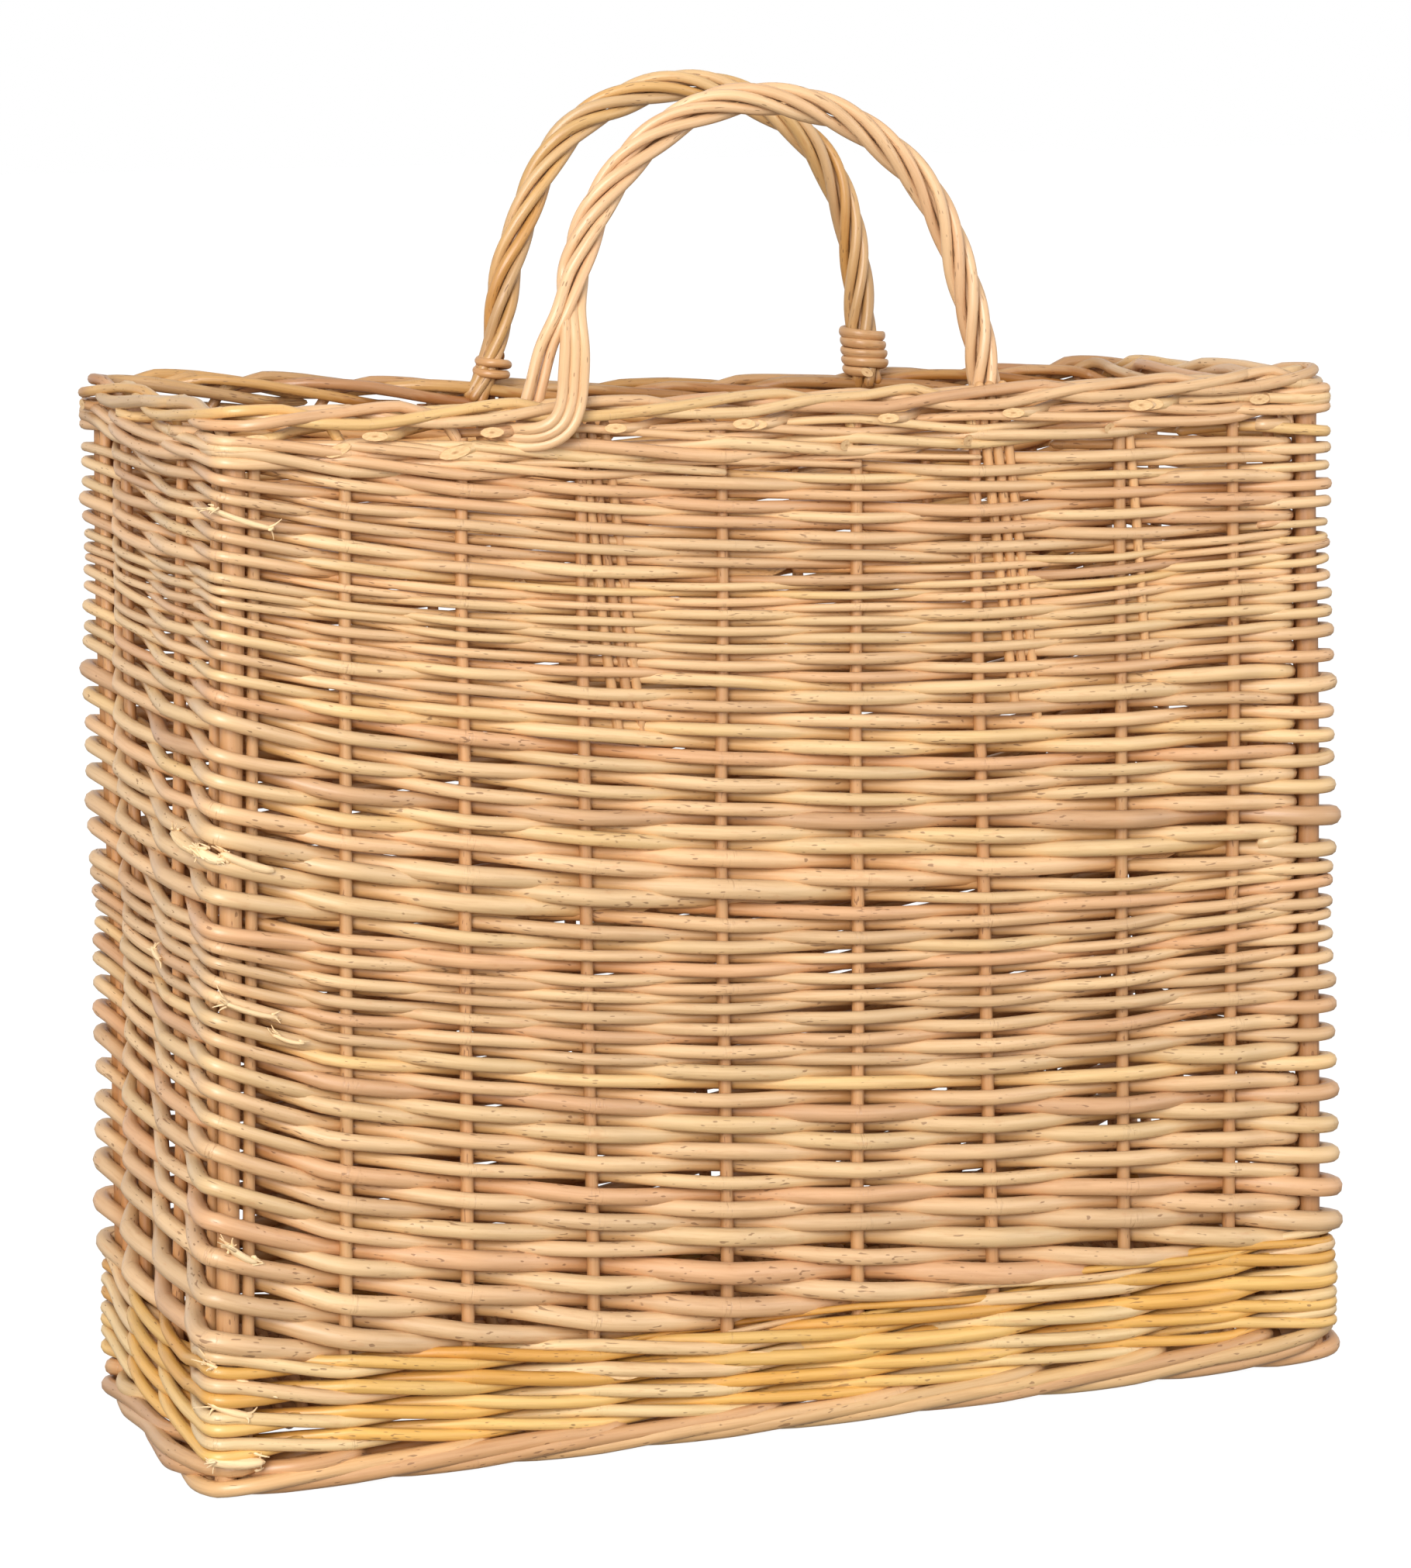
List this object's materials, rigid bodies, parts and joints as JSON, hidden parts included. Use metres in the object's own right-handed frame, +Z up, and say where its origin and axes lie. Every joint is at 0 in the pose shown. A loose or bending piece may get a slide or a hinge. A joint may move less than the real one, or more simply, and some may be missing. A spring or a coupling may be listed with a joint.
{
  "type": "wicker log basket",
  "caption": "Open rectangular log basket of randed willow on upright stakes, with corner posts, rolled border, foot border and roped bow handles.",
  "frame": {"origin": "middle of the footprint, on the surface the basket stands on", "axes": "+Z up through the open top, X along the long walls, -Y out of the front long wall"},
  "size_m": [0.5156, 0.215, 0.5704],
  "materials": {
    "foot_willow": "satin",
    "wale_willow": "satin",
    "siding_willow": "satin",
    "border_willow": "satin",
    "stake_willow": "satin",
    "post_willow": "satin",
    "handle_willow": "satin",
    "base_willow": "satin",
    "binding_willow": "satin"
  },
  "bodies": {
    "root": {"foot_border": "foot_willow", "bottom_wale": "wale_willow", "siding_lower": "siding_willow", "siding_middle": "siding_willow", "siding_upper": "siding_willow", "top_wale": "siding_willow", "top_border": "border_willow", "stakes_front": "stake_willow", "stakes_back": "stake_willow", "stakes_left": "stake_willow", "stakes_right": "stake_willow", "corner_post_front_left": "post_willow", "corner_post_front_right": "post_willow", "corner_post_back_left": "post_willow", "corner_post_back_right": "post_willow", "bye_stakes": "stake_willow", "front_handle_liner_left": "handle_willow", "front_handle_liner_right": "handle_willow", "back_handle_liner_left": "handle_willow", "back_handle_liner_right": "handle_willow", "base_sticks": "base_willow", "base_weave": "base_willow", "front_handle_core": "handle_willow", "front_handle_rope": "handle_willow", "back_handle_core": "handle_willow", "back_handle_rope": "handle_willow", "back_handle_binding_left": "binding_willow", "back_handle_binding_right": "binding_willow"}
  },
  "joints": []
}
